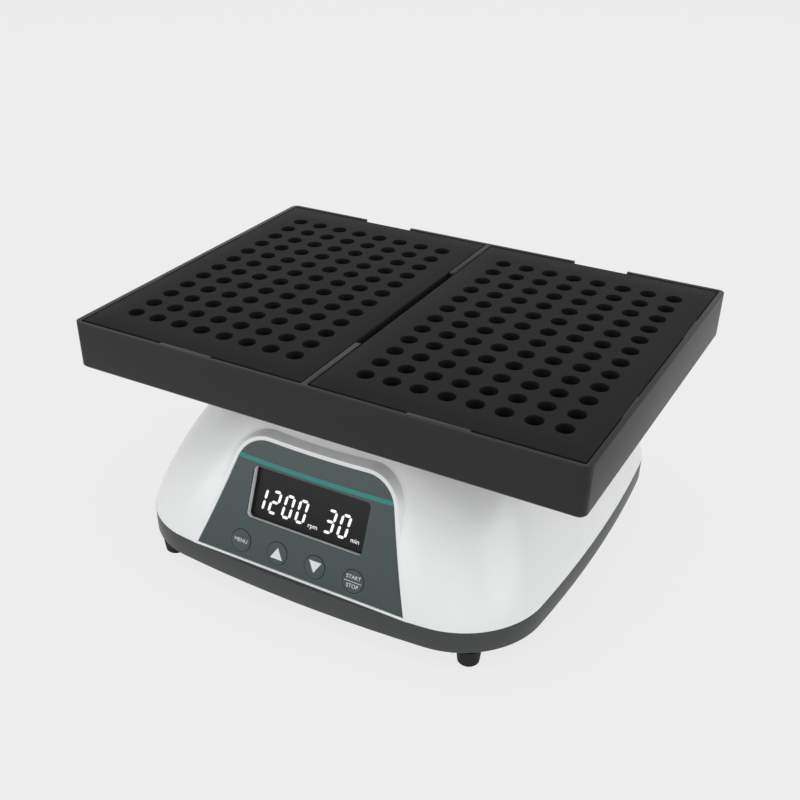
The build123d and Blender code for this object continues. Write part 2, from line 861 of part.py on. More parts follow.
def make_idler(x, y):
    """Idler crank: journal in the plate's bearing, web, and a pin with the same throw as the main one."""
    idler = rod(idler_bearing[0], idler_bearing_low - idler_tail, idler_web_low, x, y)
    idler = idler + peg(idler_web_radius, idler_web_low, idler_web_top, x, y)
    return idler + rod(idler_pin_radius, idler_web_top, bush_top, x, y + platform_y)


def make_carrier_plate():
    """Plate under the tray with the main bearing's boss and four bush bosses."""
    plate = slab(carrier_half_x, carrier_half_y, carrier_corner, carrier_bottom, tray_bottom, 0, platform_y)
    plate = plate + rod(bearing_boss_radius, bearing_boss_low, carrier_bottom, 0, platform_y)
    seat = main_bearing[1] + seat_fit
    plate = plate - rod(seat, bearing_boss_low - cut_over, main_bearing_top, 0, platform_y)
    for x, y in idler_places(platform_y):
        plate = plate + peg(bush_boss_radius, bush_low, carrier_bottom, x, y, round_sides)
        plate = plate - drill(bush_outer + seat_fit, bush_low - cut_over, bush_top, x, y, round_sides)
    for x, y in tray_screw_places():
        plate = plate - drill(tray_screw_radius, carrier_bottom - cut_over, tray_bottom + cut_over, x, y)
    return plate


def make_platform_bearing():
    return ball_bearing(main_bearing, main_bearing_low, 0, platform_y)


def make_bearing_clip():
    """Split ring that keeps the bearing in its boss."""
    outer = main_bearing[1]
    clip = ring(outer, outer - clip_width, bearing_boss_low, main_bearing_low, 0, platform_y)
    return clip - Pos(0, platform_y + outer, main_bearing_low) * Box(clip_slot, outer, 4 * clip_thickness)


def make_idler_bushes():
    """Plain bushes for the idler pins."""
    bore = idler_pin_radius + running_fit
    return group([bush(bush_outer, bore, bush_low, bush_top, x, y) for x, y in idler_places(platform_y)])


def make_platform_tray():
    """Open black tray: two bays, a scooped rib, locating lugs, rear finger notches."""
    body = slab(tray_half_x, tray_half_y, tray_corner, tray_bottom, tray_top)
    body = chamfer(body.edges().group_by(Axis.Z)[0], tray_bottom_edge)
    notch_outline = RectangleRounded(notch_width, 2 * notch_depth, notch_corner)
    notch = extrude(Plane.XZ * notch_outline, 2 * front_wall, both=True)
    front = -bay_half_y
    above = tray_top + cut_over
    for side in (-1, 1):
        bay_middle = side * bay_x
        bay = slab(bay_width / 2, bay_half_y, tray_inner_corner, tray_floor_top, above, bay_middle)
        lug_in = front + insert_end_gap - lug_clearance
        half = front_lug_width / 2
        lug_x = (bay_middle - half, bay_middle + half)
        bay = bay - block(*lug_x, front - cut_over, lug_in, tray_floor_top, above)
        wall = side * (tray_half_x - side_wall)
        lug_x = wall - side * (insert_side_gap - lug_clearance)
        low_x = min(lug_x, wall + side * cut_over)
        high_x = max(lug_x, wall + side * cut_over)
        half = side_lug_width / 2
        for y in (-side_lug_y, side_lug_y):
            bay = bay - block(low_x, high_x, y - half, y + half, tray_floor_top, above)
        body = body - bay
        body = body - Pos(bay_middle, tray_half_y, tray_top) * notch
    scoop_height = 2 * (tray_height - tray_floor - scoop_floor)
    scoop_outline = RectangleRounded(2 * scoop_half, scoop_height, scoop_corner)
    scoop = extrude(Plane.YZ * scoop_outline, rib_thickness, both=True)
    body = Pos(0, platform_y, 0) * (body - Pos(0, 0, tray_top) * scoop)
    sink = tray_screw_head - tray_screw_radius
    head_seat = loft([Pos(0, 0, -sink) * RegularPolygon(tray_screw_radius, small_sides, major_radius=False),
                      RegularPolygon(tray_screw_head, small_sides, major_radius=False)])
    for x, y in tray_screw_places():
        body = body - drill(tray_screw_radius, tray_bottom - cut_over, tray_floor_top, x, y)
        body = body - Pos(x, y, tray_floor_top) * head_seat
    return body


def make_tray_screws():
    """Countersunk screws from the bays' floors into the carrier."""
    sink = tray_screw_head - tray_screw_radius
    shank = tray_screw_radius - screw_clearance / 2
    head_top = RegularPolygon(tray_screw_head - screw_clearance / 2, small_sides)
    head = loft([Pos(0, 0, -sink) * RegularPolygon(shank, small_sides), head_top])
    screw = head + peg(shank, -tray_screw_length, -sink)
    return group([Pos(x, y, tray_floor_top) * screw for x, y in tray_screw_places()])


def make_insert(side):
    """Well block: eight by twelve blind wells on the standard 9 mm grid, with eased edges."""
    width = bay_width - 2 * insert_side_gap
    depth = 2 * (bay_half_y - insert_end_gap)
    body = Pos(0, 0, tray_floor_top) * Box(width, depth, tray_top - tray_floor_top, align=FLOOR_UP)
    body = chamfer(body.edges().filter_by(Axis.Z), insert_edge)
    well = extrude(RegularPolygon(well_radius, well_sides), well_depth + cut_over)
    wells = Compound(children=[Pos(x, y, 0) * well for x, y in well_places()])
    body = body - Pos(0, 0, tray_top - well_depth) * wells
    return Pos(side * bay_x, platform_y, 0) * body


def make_panel_overlay():
    """Printed overlay sheet in the panel's shallow seat, cut out for the display and the buttons."""
    sheet = sunk_from_panel(panel_outline(-overlay_clearance), overlay_sunk, seat_depth)
    sheet = sheet - display_window(0, seat_depth + cut_over)
    for x, up in button_places():
        sheet = sheet - panel_rod(button_radius + button_clearance, 0, seat_depth + cut_over, x, up)
    return sheet


def make_display_lens():
    width = window_width + 2 * lens_border
    height = window_height + 2 * lens_border
    return panel_block(width, height, wall_back, lens_back, window_x, window_up)


def make_display_module():
    width = window_width + 2 * lens_border
    height = window_height + 2 * lens_border
    return panel_block(width, height, lens_back, display_board_front, window_x, window_up)


def make_display_board():
    back = display_board_front + board_thickness
    front = display_board_front
    board = panel_block(display_board_width, display_board_height, front, back, window_x, window_up)
    for x, up in display_post_places():
        board = board - panel_drill(small_screw_radius, front - cut_over, back + cut_over, x, up)
    return board


def make_keypad_board():
    back = keypad_front + board_thickness
    front = keypad_front
    board = panel_block(keypad_board_width, keypad_board_height, front, back, button_row_x, button_row_up)
    for x, up in keypad_post_places():
        board = board - panel_drill(small_screw_radius, front - cut_over, back + cut_over, x, up)
    return board


def make_panel_screws():
    """Screws that hold the display board and the keypad board to the housing's posts."""
    length = board_thickness + small_screw_grip
    screw = cap_screw(small_screw_radius, small_head_radius, small_head_height, length, False)
    backs = [(x, up, display_board_front + board_thickness) for x, up in display_post_places()]
    backs += [(x, up, keypad_front + board_thickness) for x, up in keypad_post_places()]
    return group([panel_plane * (Pos(x, up, -back) * screw) for x, up, back in backs])


def make_tact_switches():
    """Switch body and plunger behind each button."""
    body_front = switch_top + plunger_height
    switches = []
    for x, up in button_places():
        body = panel_block(switch_size, switch_size, body_front, keypad_front, x, up)
        switches.append(body + panel_peg(plunger_radius, switch_top, body_front, x, up))
    return group(switches)


def make_button(index):
    """Round key: face, shank through the housing wall, retaining flange and stem."""
    x, up = button_places()[index]
    flange_front = wall_back + seat_fit
    key = panel_rod(button_radius, overlay_sunk - button_proud, flange_front, x, up)
    key = key + panel_peg(button_radius + button_flange, flange_front, flange_back, x, up)
    return key + panel_peg(button_stem_radius, flange_back, stem_end, x, up)


def make_main_board():
    board = Box(2 * main_board_half_x, main_board_depth, board_thickness, align=FLOOR_UP)
    board = Pos(0, main_board_y, main_board_z) * board
    for x, y in main_board_posts():
        board = board - drill(small_screw_radius, main_board_z - cut_over, board_top + cut_over, x, y)
    return board


def make_board_screws():
    length = board_thickness + small_screw_grip
    screw = cap_screw(small_screw_radius, small_head_radius, small_head_height, length)
    return group([Pos(x, y, board_top) * screw for x, y in main_board_posts()])


def make_board_components():
    """Driver chip, regulator, plug headers and capacitors soldered to the main board."""
    parts = []
    for x, y, width, depth, height in (driver_chip, regulator, motor_header, panel_header):
        parts.append(Pos(x, main_board_y + y, board_top) * Box(width, depth, height, align=FLOOR_UP))
    for x, y in capacitor_places:
        parts.append(peg(capacitor_radius, board_top, board_top + capacitor_height, x, main_board_y + y))
    return group(parts)


def make_power_inlet():
    """Round power socket: threaded barrel, flange, blind bore and centre pin."""
    bore_end = inlet_flange - inlet_bore_depth
    half = Polyline((0, -inlet_depth), (inlet_radius, -inlet_depth), (inlet_radius, 0),
                    (inlet_flange_radius, 0), (inlet_flange_radius, inlet_flange),
                    (inlet_bore_radius, inlet_flange), (inlet_bore_radius, bore_end),
                    (inlet_pin_radius, bore_end), (inlet_pin_radius, 0), (0, 0), close=True)
    socket = revolve(Plane.XZ * make_face(half), Axis.Z)
    return Pos(inlet_x, recess_wall_y, recess_middle) * Rot(-90, 0, 0) * socket


def make_inlet_nut():
    face = RegularPolygon(inlet_nut_across_flats / 2, 6, major_radius=False)
    face = face - RegularPolygon(inlet_radius + seat_fit, 3 * small_sides, major_radius=False)
    nut_back = recess_wall_y - recess_wall - inlet_nut_thickness
    return Pos(inlet_x, nut_back, recess_middle) * Rot(-90, 0, 0) * extrude(face, inlet_nut_thickness)


def make_rocker_frame():
    """Snap-in switch body: open frame in front, closed box behind, two terminals."""
    wide = rocker_half_width
    tall = rocker_half_height
    front = recess_wall_y + rocker_frame_proud
    back = recess_wall_y - rocker_body_depth
    frame = switch_block(wide + rocker_frame_lip, tall + rocker_frame_lip, recess_wall_y, front)
    frame = frame + switch_block(wide, tall, back, front)
    inner = (wide - rocker_wall, tall - rocker_wall)
    frame = frame - switch_block(*inner, back + rocker_floor, front + cut_over)
    for x in (-terminal_spread, terminal_spread):
        terminal = switch_block(terminal_thickness / 2, terminal_height / 2, back - terminal_length, back, x)
        frame = frame + terminal
    return frame


def make_power_rocker():
    """Rocker with a drum back and a shallow vee front, resting tipped to one side."""
    half_long = rocker_half_width - rocker_wall - rocker_end_clearance
    half_tall = rocker_half_height - rocker_wall - rocker_clearance
    edge_y = math.sqrt(rocker_radius * rocker_radius - half_long * half_long)
    root_x = rocker_root * half_long
    nose = ThreePointArc((-half_long, edge_y), (0, edge_y - rocker_dip), (half_long, edge_y))
    right = Line((half_long, edge_y), (root_x, 0))
    drum = ThreePointArc((root_x, 0), (0, -rocker_belly), (-root_x, 0))
    left = Line((-root_x, 0), (-half_long, edge_y))
    rocker = extrude(make_face([nose, right, drum, left]), half_tall, both=True)
    rocker = rocker - Cylinder(rocker_pin_radius + 2 * running_fit, 4 * half_tall)
    return Pos(rocker_x, rocker_axis_y, recess_middle) * Rot(0, 0, rocker_tilt) * rocker


def make_rocker_pin():
    """Pivot pin across the switch frame."""
    reach = rocker_half_height - rocker_wall
    return rod(rocker_pin_radius, recess_middle - reach, recess_middle + reach, rocker_x, rocker_axis_y)


NODES = {
    "top_housing": make_top_housing,
    "base_tray": make_base_tray,
    "rubber_feet": make_rubber_feet,
    "case_screws": make_case_screws,
    "support_pillars": make_pillars,
    "pillar_screws": make_pillar_screws,
    "drive_plate": make_drive_plate,
    "motor_housing": make_motor_housing,
    "motor_stator": make_motor_stator,
    "motor_bearings": make_motor_bearings,
    "motor_screws": make_motor_screws,
    "idler_bearings": make_idler_bearings,
    "motor_shaft": make_motor_shaft,
    "motor_rotor": make_motor_rotor,
    "crank_hub": make_crank_hub,
    "hub_set_screw": make_hub_set_screw,
    "balance_weight": make_balance_weight,
    "weight_screws": make_weight_screws,
    "idler_crank_back_right": lambda: make_idler(idler_x, idler_y),
    "idler_crank_back_left": lambda: make_idler(-idler_x, idler_y),
    "idler_crank_front_left": lambda: make_idler(-idler_x, -idler_y),
    "idler_crank_front_right": lambda: make_idler(idler_x, -idler_y),
    "carrier_plate": make_carrier_plate,
    "platform_bearing": make_platform_bearing,
    "bearing_clip": make_bearing_clip,
    "idler_bushes": make_idler_bushes,
    "platform_tray": make_platform_tray,
    "tray_screws": make_tray_screws,
    "well_insert_left": lambda: make_insert(-1),
    "well_insert_right": lambda: make_insert(1),
    "panel_overlay": make_panel_overlay,
    "display_lens": make_display_lens,
    "display_module": make_display_module,
    "display_board": make_display_board,
    "keypad_board": make_keypad_board,
    "panel_screws": make_panel_screws,
    "tact_switches": make_tact_switches,
    "button_menu": lambda: make_button(0),
    "button_up": lambda: make_button(1),
    "button_down": lambda: make_button(2),
    "button_start_stop": lambda: make_button(3),
    "main_board": make_main_board,
    "board_screws": make_board_screws,
    "board_components": make_board_components,
    "power_inlet": make_power_inlet,
    "inlet_nut": make_inlet_nut,
    "rocker_frame": make_rocker_frame,
    "power_rocker": make_power_rocker,
    "rocker_pin": make_rocker_pin,
}

os.makedirs("parts", exist_ok=True)
for name, make in NODES.items():
    shape = make()
    export_step(shape, f"parts/{name}.step")
    print(name, round(shape.volume / 1000, 2), "cm3")
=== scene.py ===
import bmesh
import bpy
import math
from mathutils import Matrix, Vector


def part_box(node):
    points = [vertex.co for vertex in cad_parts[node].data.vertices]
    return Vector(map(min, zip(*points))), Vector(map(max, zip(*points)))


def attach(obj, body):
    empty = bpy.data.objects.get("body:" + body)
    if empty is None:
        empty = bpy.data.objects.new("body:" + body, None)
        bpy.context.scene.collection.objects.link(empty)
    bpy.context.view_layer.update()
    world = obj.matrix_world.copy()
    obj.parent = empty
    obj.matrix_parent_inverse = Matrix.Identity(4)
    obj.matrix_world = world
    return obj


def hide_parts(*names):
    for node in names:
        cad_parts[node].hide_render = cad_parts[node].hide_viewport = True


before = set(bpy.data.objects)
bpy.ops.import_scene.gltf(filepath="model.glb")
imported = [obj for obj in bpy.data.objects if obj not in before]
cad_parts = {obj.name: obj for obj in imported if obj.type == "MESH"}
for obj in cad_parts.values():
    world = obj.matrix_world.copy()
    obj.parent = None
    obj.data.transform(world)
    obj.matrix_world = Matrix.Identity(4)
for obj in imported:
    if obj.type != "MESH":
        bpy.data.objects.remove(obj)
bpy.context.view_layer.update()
mm = 0.001


# Camera. It stands in front and to the right of the shaker and looks down on it.
# Its place and turn come from the 9 mm grid of wells, seen through a pinhole camera.
camera_place = (0.15614, -0.29366, 0.23058)
camera_turn = (56.9184, 0.1582, 30.2795)
camera_lens = bpy.data.cameras.new("camera")
camera_lens.sensor_width = 36
camera_lens.lens = 48.094
camera_lens.shift_x = 0.0379
camera_lens.shift_y = 0.0915
camera_lens.clip_start = 0.01
camera = bpy.data.objects.new("camera", camera_lens)
camera.location = camera_place
camera.rotation_euler = [math.radians(angle) for angle in camera_turn]
bpy.context.scene.collection.objects.link(camera)
bpy.context.scene.camera = camera
bpy.context.scene.view_settings.view_transform = "Standard"


# Studio. A pale floor and a world of the same colour, so that no horizon shows,
# with wide soft lamps: the strongest from the right, one overhead and a fill from the front left.
class Wire:
    """A value on its way from one node's socket to another. Sums on it add Math nodes."""

    def __init__(self, graph, socket):
        self.graph = graph
        self.socket = socket

    def sum(self, operation, first, second):
        return self.graph.node("ShaderNodeMath", {"operation": operation}, {0: first, 1: second})

    def __add__(self, other):
        return self.sum("ADD", self, other)

    def __sub__(self, other):
        return self.sum("SUBTRACT", self, other)

    def __rsub__(self, other):
        return self.sum("SUBTRACT", other, self)

    def __mul__(self, other):
        return self.sum("MULTIPLY", self, other)

    __radd__ = __add__
    __rmul__ = __mul__

    def capped(self):
        """The value, but 1 at most."""
        return self.sum("MINIMUM", self, 1.0)


class Graph:
    """A node tree, in which one method makes every node."""

    def __init__(self, tree):
        self.tree = tree

    def plug(self, socket, value):
        if isinstance(value, Wire):
            self.tree.links.new(value.socket, socket)
        elif isinstance(value, tuple) and len(value) == 3 and socket.type == "RGBA":
            socket.default_value = (*value, 1)
        else:
            socket.default_value = value

    def node(self, kind, settings=None, inputs=None, out=0):
        made = self.tree.nodes.new(kind)
        for name, value in (settings or {}).items():
            setattr(made, name, value)
        for key, value in (inputs or {}).items():
            self.plug(made.inputs[key], value)
        return Wire(self, made.outputs[out])


class Finish(Graph):
    """A material: what is the same all over goes on the shader, and wires bring what varies."""

    def __init__(self, name, colour, roughness, **constants):
        self.material = bpy.data.materials.new(name)
        self.material.use_nodes = True
        super().__init__(self.material.node_tree)
        self.shader = self.tree.nodes["Principled BSDF"]
        self.feed("Base Color", colour)
        self.feed("Roughness", roughness)
        for word, value in constants.items():
            self.feed(word.replace("_", " "), value)
        self.place = self.node("ShaderNodeTexCoord", out="Object")

    def feed(self, socket, value):
        self.plug(self.shader.inputs[socket], value)

    def grain(self, scale, detail=2.0, stretch=(1, 1, 1)):
        """Noise from 0 to 1, of so many grains to the metre, drawn out along an axis."""
        place = self.node("ShaderNodeMapping", {}, {"Vector": self.place, "Scale": stretch})
        return self.node("ShaderNodeTexNoise", {}, {"Vector": place, "Scale": scale, "Detail": detail})

    def mix(self, share, first, second):
        """A colour between two, by a share."""
        settings = {"data_type": "RGBA"}
        return self.node("ShaderNodeMix", settings, {0: share, 6: first, 7: second}, 2)

    def relief(self, height, depth):
        bump = self.node("ShaderNodeBump", {}, {"Height": height, "Distance": depth})
        self.feed("Normal", bump)


background_level = 0.863
floor_radius = 6.0
floor_shadow_share = 0.1
floor_mesh = bpy.data.meshes.new("floor")
floor_form = bmesh.new()
bmesh.ops.create_circle(floor_form, cap_ends=True, segments=96, radius=floor_radius)
floor_form.to_mesh(floor_mesh)
floor_form.free()
floor = bpy.data.objects.new("floor", floor_mesh)
bpy.context.scene.collection.objects.link(floor)


def seen_directly(graph):
    """1 for what the camera sees, also in gloss and through glass, and 0 for the light on the object."""
    path = graph.tree.nodes.new("ShaderNodeLightPath")
    camera_ray = Wire(graph, path.outputs["Is Camera Ray"])
    glossy_ray = Wire(graph, path.outputs["Is Glossy Ray"])
    clear_ray = Wire(graph, path.outputs["Is Transmission Ray"])
    return (camera_ray + glossy_ray + clear_ray).capped()


floor_finish = Finish("studio_floor", (0.86, 0.86, 0.86), 0.9)
glow_inputs = {"Color": (background_level, background_level, background_level), "Strength": 1.0}
floor_glow = floor_finish.node("ShaderNodeEmission", {}, glow_inputs)
floor_share = seen_directly(floor_finish) * (1 - floor_shadow_share)
floor_mix = floor_finish.tree.nodes.new("ShaderNodeMixShader")
floor_finish.plug(floor_mix.inputs[0], floor_share)
floor_finish.tree.links.new(floor_finish.shader.outputs[0], floor_mix.inputs[1])
floor_finish.tree.links.new(floor_glow.socket, floor_mix.inputs[2])
floor_finish.tree.links.new(floor_mix.outputs[0], floor_finish.tree.nodes["Material Output"].inputs[0])
floor.data.materials.append(floor_finish.material)

ambient_level = 0.5
world = bpy.data.worlds.new("studio")
world.use_nodes = True
bpy.context.scene.world = world
sky = Graph(world.node_tree)
sky_shader = world.node_tree.nodes["Background"]
sky.plug(sky_shader.inputs["Color"], (1.0, 1.0, 1.0))
sky_strength = seen_directly(sky) * (background_level - ambient_level) + ambient_level
sky.plug(sky_shader.inputs["Strength"], sky_strength)


def soft_lamp(name, place, target, width, height, power):
    lamp = bpy.data.lights.new(name, "AREA")
    lamp.shape = "RECTANGLE"
    lamp.size = width
    lamp.size_y = height
    lamp.energy = power
    holder = bpy.data.objects.new(name, lamp)
    holder.location = place
    holder.rotation_euler = (Vector(target) - Vector(place)).to_track_quat("-Z", "Y").to_euler()
    bpy.context.scene.collection.objects.link(holder)


soft_lamp("lamp_right", (1.3, -0.1, 0.55), (0, 0, 0.04), 1.0, 0.9, 6.5)
soft_lamp("lamp_overhead", (0.0, 0.1, 1.5), (0, 0, 0), 1.2, 1.2, 6)
soft_lamp("lamp_front_left", (-0.7, -1.2, 0.5), (0, 0, 0.03), 0.9, 0.7, 6)


# White housing. A flared shell moulded in glossy white plastic, with a flat for the control panel
# at the front and a deck on top. Its foot sits on the dark base tray.
# It keeps its solid's form, with the sharp edges eased by a small round as the mould leaves them.
weld_distance = 0.002 * mm
smooth_up_to = 32


def one_mesh(node):
    """Copy of a solid's mesh with its loose triangles joined."""
    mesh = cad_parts[node].data.copy()
    if "custom_normal" in mesh.attributes:
        mesh.attributes.remove(mesh.attributes["custom_normal"])
    form = bmesh.new()
    form.from_mesh(mesh)
    bmesh.ops.remove_doubles(form, verts=form.verts, dist=weld_distance)
    flat = math.radians(0.4)
    bmesh.ops.dissolve_limit(form, angle_limit=flat, verts=form.verts, edges=form.edges)
    form.to_mesh(mesh)
    form.free()
    return mesh


def finished_mesh(mesh, *modifiers):
    """The mesh after its modifiers, each given as a kind and its settings, with smooth shading."""
    holder = bpy.data.objects.new("holder", mesh)
    bpy.context.scene.collection.objects.link(holder)
    for kind, settings in modifiers:
        modifier = holder.modifiers.new(kind.lower(), kind)
        for name, value in settings.items():
            setattr(modifier, name, value)
    evaluated = holder.evaluated_get(bpy.context.evaluated_depsgraph_get())
    made = bpy.data.meshes.new_from_object(evaluated)
    bpy.data.objects.remove(holder)
    made.shade_smooth()
    made.set_sharp_from_angle(angle=math.radians(smooth_up_to))
    return made


def eased(node, width):
    """A solid's mesh with its edges eased."""
    settings = {"width": width, "segments": 2, "limit_method": "ANGLE", "angle_limit": math.radians(35)}
    return finished_mesh(one_mesh(node), ("BEVEL", settings))


def add_piece(name, mesh, finish, body, slot, *replaced):
    """Puts a finished mesh in the scene: its material, the body it rides on, what it stands for."""
    mesh.name = name
    mesh.materials.clear()
    mesh.materials.append(finish.material)
    piece = bpy.data.objects.new(name, mesh)
    bpy.context.scene.collection.objects.link(piece)
    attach(piece, body)
    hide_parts(*replaced)
    return piece


def dress(finish, *nodes):
    """Gives solids that stay as they are their material."""
    for node in nodes:
        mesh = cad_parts[node].data
        mesh.materials.clear()
        mesh.materials.append(finish.material)


drift_scale = 22
mould_grain_scale = 2600
drift_darkening = 0.965


def moulded(name, colour, roughness, grain_depth, mottle=0.04, **constants):
    """Moulded plastic: fine grain from the mould, and a gloss that drifts a little over the part."""
    finish = Finish(name, colour, roughness, **constants)
    broad = finish.grain(drift_scale, 3.0)
    finish.feed("Roughness", broad * (2 * mottle) + (roughness - mottle))
    darker = tuple(level * drift_darkening for level in colour)
    finish.feed("Base Color", finish.mix(broad, darker, colour))
    finish.relief(finish.grain(mould_grain_scale), grain_depth)
    return finish


white_plastic = moulded("white_plastic", (0.84, 0.845, 0.85), 0.26, 0.004 * mm, 0.03, Specular_IOR_Level=0.45)
housing = eased("top_housing", 0.25 * mm)
add_piece("housing_shell", housing, white_plastic, "base", "housing_white", "top_housing")


# Base tray. The dark band round the foot of the housing, with the floor under it.
# It is one moulding in dark grey plastic, screwed to the housing from below.
dark_plastic = moulded("dark_plastic", (0.046, 0.05, 0.05), 0.42, 0.01 * mm, 0.05, Specular_IOR_Level=0.35)
base = eased("base_tray", 0.2 * mm)
add_piece("base_shell", base, dark_plastic, "base", "base_dark", "base_tray")


# Feet. Four turned rubber feet, pushed into blind sockets under the base tray.
rubber = moulded("black_rubber", (0.012, 0.012, 0.012), 0.75, 0.02 * mm, 0.08, Specular_IOR_Level=0.25)
dress(rubber, "rubber_feet")


# Drive plate, pillars and screws. The cast aluminium plate stands on four hexagon pillars
# and carries the motor and the idlers' bearings. Zinc plated screws hold it together.
sheen_scale = 60
sheen_drift = 0.07
sheen_darkening = 0.82


def metal(name, colour, roughness, stretch=(1, 1, 1), scale=900, depth=0.006 * mm):
    """Worked metal: tool marks drawn out one way, and a sheen that changes with them."""
    finish = Finish(name, colour, roughness, Metallic=1.0)
    marks = finish.grain(scale, 4.0, stretch)
    broad = finish.grain(sheen_scale, 3.0)
    finish.feed("Roughness", marks * (2 * sheen_drift) + (roughness - sheen_drift))
    darker = tuple(level * sheen_darkening for level in colour)
    finish.feed("Base Color", finish.mix(broad, darker, colour))
    finish.relief(marks, depth)
    return finish


cast_aluminium = metal("cast_aluminium", (0.55, 0.56, 0.57), 0.48, scale=1500, depth=0.02 * mm)
zinc_steel = metal("zinc_steel", (0.5, 0.5, 0.48), 0.34, scale=1200)
plated_steel = metal("plated_steel", (0.36, 0.36, 0.37), 0.38, (1, 1, 12))
ground_steel = metal("ground_steel", (0.55, 0.55, 0.56), 0.24, (1, 1, 18))
dress(cast_aluminium, "drive_plate", "carrier_plate")
dress(zinc_steel, "support_pillars", "pillar_screws", "case_screws", "motor_screws", "tray_screws")
dress(zinc_steel, "weight_screws", "hub_set_screw", "board_screws", "panel_screws", "inlet_nut", "rocker_pin")
dress(plated_steel, "motor_housing", "motor_stator", "motor_rotor", "balance_weight")
dress(ground_steel, "motor_bearings", "motor_shaft", "crank_hub", "idler_bearings", "platform_bearing")
dress(ground_steel, "bearing_clip", "idler_crank_back_right", "idler_crank_back_left")
dress(ground_steel, "idler_crank_front_left", "idler_crank_front_right")
bush_plastic = moulded("bush_plastic", (0.1, 0.09, 0.07), 0.5, 0.01 * mm)
dress(bush_plastic, "idler_bushes")


# Platform tray. An open tray with two bays, folded and coated in fine matt black.
coated_black = moulded(
    "coated_black", (0.015, 0.015, 0.0155), 0.42, 0.012 * mm, 0.05, Specular_IOR_Level=0.24)
tray = eased("platform_tray", 0.2 * mm)
add_piece("tray_shell", tray, coated_black, "platform", "tray_black", "platform_tray")


# Well inserts. Two lift-out blocks in matt black plastic, with 8 by 12 blind round wells
# on the microplate's 9 mm grid. One cell with its well is modelled, and a node pattern repeats it.
class Pattern(Graph):
    """A geometry node tree whose sizes are named inputs."""

    def __init__(self, name, **sizes):
        super().__init__(bpy.data.node_groups.new(name, "GeometryNodeTree"))
        self.identifiers = {}
        self.sizes = sizes
        face = self.tree.interface
        face.new_socket("Geometry", in_out="OUTPUT", socket_type="NodeSocketGeometry")
        face.new_socket("Geometry", in_out="INPUT", socket_type="NodeSocketGeometry")
        for word, value in sizes.items():
            kind = "NodeSocketInt" if isinstance(value, int) else "NodeSocketFloat"
            item = face.new_socket(word, in_out="INPUT", socket_type=kind)
            self.identifiers[word] = item.identifier
        self.entry = self.tree.nodes.new("NodeGroupInput")

    def size(self, word):
        return Wire(self, self.entry.outputs[word])

    def close(self, geometry, finish):
        solid = self.node("GeometryNodeRealizeInstances", {}, {"Geometry": geometry})
        coated = self.node("GeometryNodeSetMaterial", {}, {"Geometry": solid, "Material": finish.material})
        exit_node = self.tree.nodes.new("NodeGroupOutput")
        self.plug(exit_node.inputs["Geometry"], coated)

    def mesh(self, base):
        """The plain mesh that the pattern makes of a base mesh."""
        holder = bpy.data.objects.new("holder", base)
        bpy.context.scene.collection.objects.link(holder)
        modifier = holder.modifiers.new("pattern", "NODES")
        modifier.node_group = self.tree
        for word, value in self.sizes.items():
            modifier[self.identifiers[word]] = value
        evaluated = holder.evaluated_get(bpy.context.evaluated_depsgraph_get())
        made = bpy.data.meshes.new_from_object(evaluated)
        bpy.data.objects.remove(holder)
        return made


well_pitch = 9.0 * mm
well_columns = 8
well_rows = 12
well_radius = 2.8 * mm
well_depth = 11.0 * mm
well_mouth = 0.15 * mm
well_sides = 24
insert_edge = 0.4 * mm
steps_per_edge = well_sides // 4
insert_plastic = moulded(
    "insert_plastic", (0.012, 0.012, 0.012), 0.6, 0.01 * mm, 0.05, Specular_IOR_Level=0.08)


def well_cell():
    """A square of the insert's top face with one well in it, its mouth eased."""
    form = bmesh.new()
    square = []
    for i in range(well_sides):
        quarter, step = divmod(i + steps_per_edge // 2, steps_per_edge)
        along = 2 * step / steps_per_edge - 1
        corner = Vector((1, along)) * well_pitch / 2
        corner.rotate(Matrix.Rotation(quarter * math.pi / 2, 2))
        square.append(form.verts.new((*corner, 0)))
    rings = [square]
    profile = ((well_radius + well_mouth, 0), (well_radius, well_mouth), (well_radius, well_depth))
    turns = [2 * math.pi * i / well_sides for i in range(well_sides)]
    for radius, depth in profile:
        places = [(radius * math.cos(turn), radius * math.sin(turn), -depth) for turn in turns]
        rings.append([form.verts.new(place) for place in places])
    for outer, inner in zip(rings, rings[1:]):
        for i in range(well_sides):
            j = (i + 1) % well_sides
            form.faces.new((outer[i], outer[j], inner[j], inner[i]))
    form.faces.new(rings[-1])
    mesh = bpy.data.meshes.new("well_cell")
    form.to_mesh(mesh)
    form.free()
    return mesh


def open_block(low, high):
    """The insert's block with eased edges, open on top where the grid of wells goes."""
    form = bmesh.new()
    middle = (low + high) / 2
    place = Matrix.Translation(middle) @ Matrix.Diagonal((*(high - low), 1))
    bmesh.ops.create_cube(form, size=1, matrix=place)
    rounding = {"offset": insert_edge, "segments": 2, "profile": 0.5, "affect": "EDGES"}
    bmesh.ops.bevel(form, geom=form.edges[:], **rounding)
    reach = Vector((well_columns, well_rows, 0)) * well_pitch / 2
    for across in (Vector((1, 0, 0)), Vector((0, 1, 0))):
        for side in (-1, 1):
            cut = middle + across * reach.dot(across) * side
            everything = form.verts[:] + form.edges[:] + form.faces[:]
            bmesh.ops.bisect_plane(form, geom=everything, plane_co=cut, plane_no=across)
    top_middle = Vector((middle.x, middle.y, high.z))
    lid = min(form.faces, key=lambda face: (face.calc_center_median() - top_middle).length)
    lengthwise = [edge for edge in lid.edges if abs(edge.verts[0].co.x - edge.verts[1].co.x) < insert_edge]
    crosswise = [edge for edge in lid.edges if edge not in lengthwise]
    bmesh.ops.delete(form, geom=[lid], context="FACES_ONLY")
    for edges, cells in ((crosswise, well_columns), (lengthwise, well_rows)):
        bmesh.ops.subdivide_edges(form, edges=edges, cuts=cells * steps_per_edge - 1)
    mesh = bpy.data.meshes.new("block")
    form.to_mesh(mesh)
    form.free()
    return mesh


